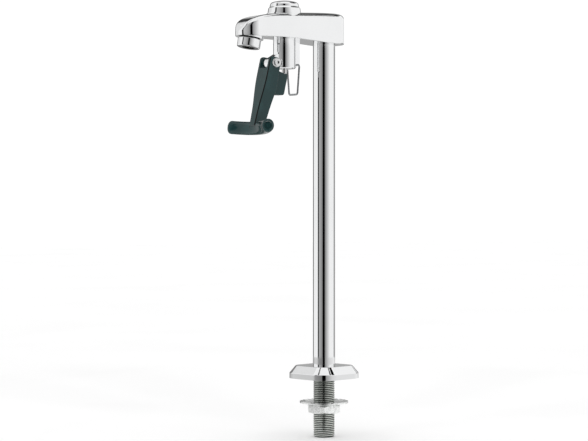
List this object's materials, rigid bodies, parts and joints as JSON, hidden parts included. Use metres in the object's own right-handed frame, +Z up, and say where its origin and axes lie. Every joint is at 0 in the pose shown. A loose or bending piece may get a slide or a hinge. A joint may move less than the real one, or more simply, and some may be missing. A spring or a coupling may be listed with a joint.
{
  "type": "push-back glass filler",
  "caption": "Deck-mounted glass filler: a tall column, a tapered spout arm, and a lever that a glass pushes back to open the valve.",
  "frame": {"origin": "centre of the flange's underside, on the column's axis at the deck's surface", "axes": "+Z up the column, -Y towards the spout's nose, +X to the side of the pivot screw's head"},
  "size_m": [0.0728, 0.1342, 0.4329],
  "materials": {
    "polished_chrome": "mirror polished chrome plate",
    "plated_brass": "dull plated, as turned",
    "plated_steel": "bright zinc plate",
    "stainless_steel": "turned stainless",
    "bare_brass": "turned, unplated",
    "black_rubber": "matte",
    "white_plastic": "moulded",
    "lever_plastic": "satin dark grey-green moulding"
  },
  "bodies": {
    "stand": {"deck_flange": "polished_chrome", "flange_gasket": "black_rubber", "threaded_shank": "plated_brass", "shank_o_ring": "black_rubber", "lock_washer": "plated_steel", "lock_nut": "plated_brass", "column_tube": "polished_chrome", "column_o_ring": "black_rubber", "head_body": "polished_chrome", "cap": "polished_chrome", "cap_o_ring": "black_rubber", "valve_seat": "bare_brass", "stem_guide": "bare_brass", "stem_o_rings": "black_rubber", "guide_o_ring": "black_rubber", "outlet_nozzle": "polished_chrome", "nozzle_washer": "black_rubber", "flow_straightener": "white_plastic", "outlet_screen": "stainless_steel", "pivot_screw": "stainless_steel", "pivot_nut": "stainless_steel", "pivot_washers": "white_plastic"},
    "stem": {"push_stem": "stainless_steel", "seat_washer": "black_rubber", "poppet": "bare_brass", "poppet_nut": "stainless_steel", "return_spring": "stainless_steel"},
    "lever": {"lever": "lever_plastic"},
    "bail": {"wire_bail": "stainless_steel"}
  },
  "joints": [
    {"name": "lever_pivot", "type": "hinge", "parent": "stand", "child": "lever", "pos_m": [0, -0.064, 0.3121], "axis": [1, 0, 0], "range_deg": [0, 15], "stiffness_Nm_per_rad": 1.1, "springref_deg": -11.46},
    {"name": "stem_lift", "type": "slide", "parent": "stand", "child": "stem", "axis": [0, 0, 1], "range_m": [0, 0.0047], "deforming": ["return_spring"]},
    {"name": "bail_swing", "type": "hinge", "parent": "stand", "child": "bail", "pos_m": [0, -0.0375, 0.3109], "axis": [1, 0, 0], "range_deg": [-10, 45]}
  ],
  "couplings": [
    {"joint": "stem_lift", "follows": "lever_pivot", "m_per_rad": 0.0178}
  ]
}
